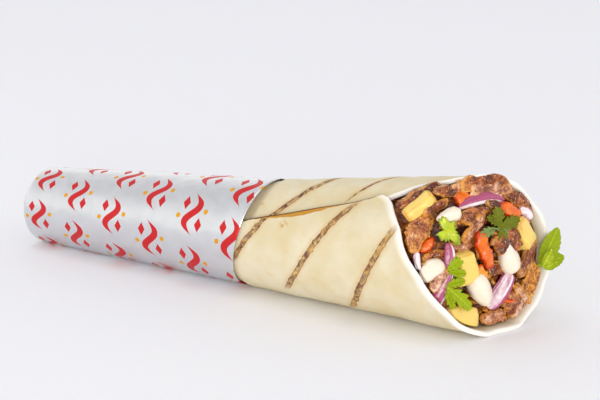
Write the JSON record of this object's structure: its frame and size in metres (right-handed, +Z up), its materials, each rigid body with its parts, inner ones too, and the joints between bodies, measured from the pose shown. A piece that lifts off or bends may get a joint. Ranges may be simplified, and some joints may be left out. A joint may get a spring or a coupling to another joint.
{
  "type": "shawarma sandwich",
  "caption": "Shawarma sandwich: flatbread rolled round shaved meat, fries, tomato, onion and herbs, its lower half held in a printed foil sleeve.",
  "frame": {"origin": "middle of the sandwich's outer box, at the height of the surface that it lies on", "axes": "+X along the roll, from the closed foil end to the open mouth; +Z up; the mouth is cut on the slant and turns towards -Y"},
  "size_m": [0.3044, 0.08, 0.0776],
  "materials": {
    "printed_foil": "satin foil with a printed pattern",
    "flatbread": "matte baked dough with grill marks",
    "roast_meat": "moist roasted meat, dark at the edges",
    "fried_potato": "golden fried potato, slightly oily",
    "white_garlic": "smooth, semi-gloss white",
    "tomato": "wet, glossy",
    "red_onion": "crisp, semi-gloss, purple skin over white",
    "parsley": "matte leaf",
    "lettuce": "moist leaf",
    "mint_leaf": "fresh leaf with a soft sheen"
  },
  "bodies": {
    "root": {"flatbread": "flatbread", "foil_sleeve": "printed_foil", "fry_left": "fried_potato", "fry_lower": "fried_potato", "fry_middle": "fried_potato", "fry_right": "fried_potato", "garlic_left": "white_garlic", "garlic_lower": "white_garlic", "garlic_right": "white_garlic", "garlic_upper": "white_garlic", "lettuce_scrap": "lettuce", "meat_back": "roast_meat", "meat_browned": "roast_meat", "meat_centre": "roast_meat", "meat_curl": "roast_meat", "meat_deep": "roast_meat", "meat_fold": "roast_meat", "meat_heap": "roast_meat", "meat_inner": "roast_meat", "meat_knuckle": "roast_meat", "meat_left": "roast_meat", "meat_low": "roast_meat", "meat_low_left": "roast_meat", "meat_low_right": "roast_meat", "meat_near": "roast_meat", "meat_over_onion": "roast_meat", "meat_right": "roast_meat", "meat_strip": "roast_meat", "meat_top": "roast_meat", "meat_top_inner": "roast_meat", "meat_top_right": "roast_meat", "mint_sprig": "mint_leaf", "onion_chip": "red_onion", "onion_left": "red_onion", "onion_lower": "red_onion", "onion_right": "red_onion", "onion_upper": "red_onion", "parsley_lower": "parsley", "parsley_middle": "parsley", "parsley_pale": "lettuce", "parsley_upper": "parsley", "tomato_left": "tomato", "tomato_lower": "tomato", "tomato_middle": "tomato", "tomato_right": "tomato", "tomato_sliver": "tomato", "tomato_upper": "tomato"}
  },
  "joints": []
}
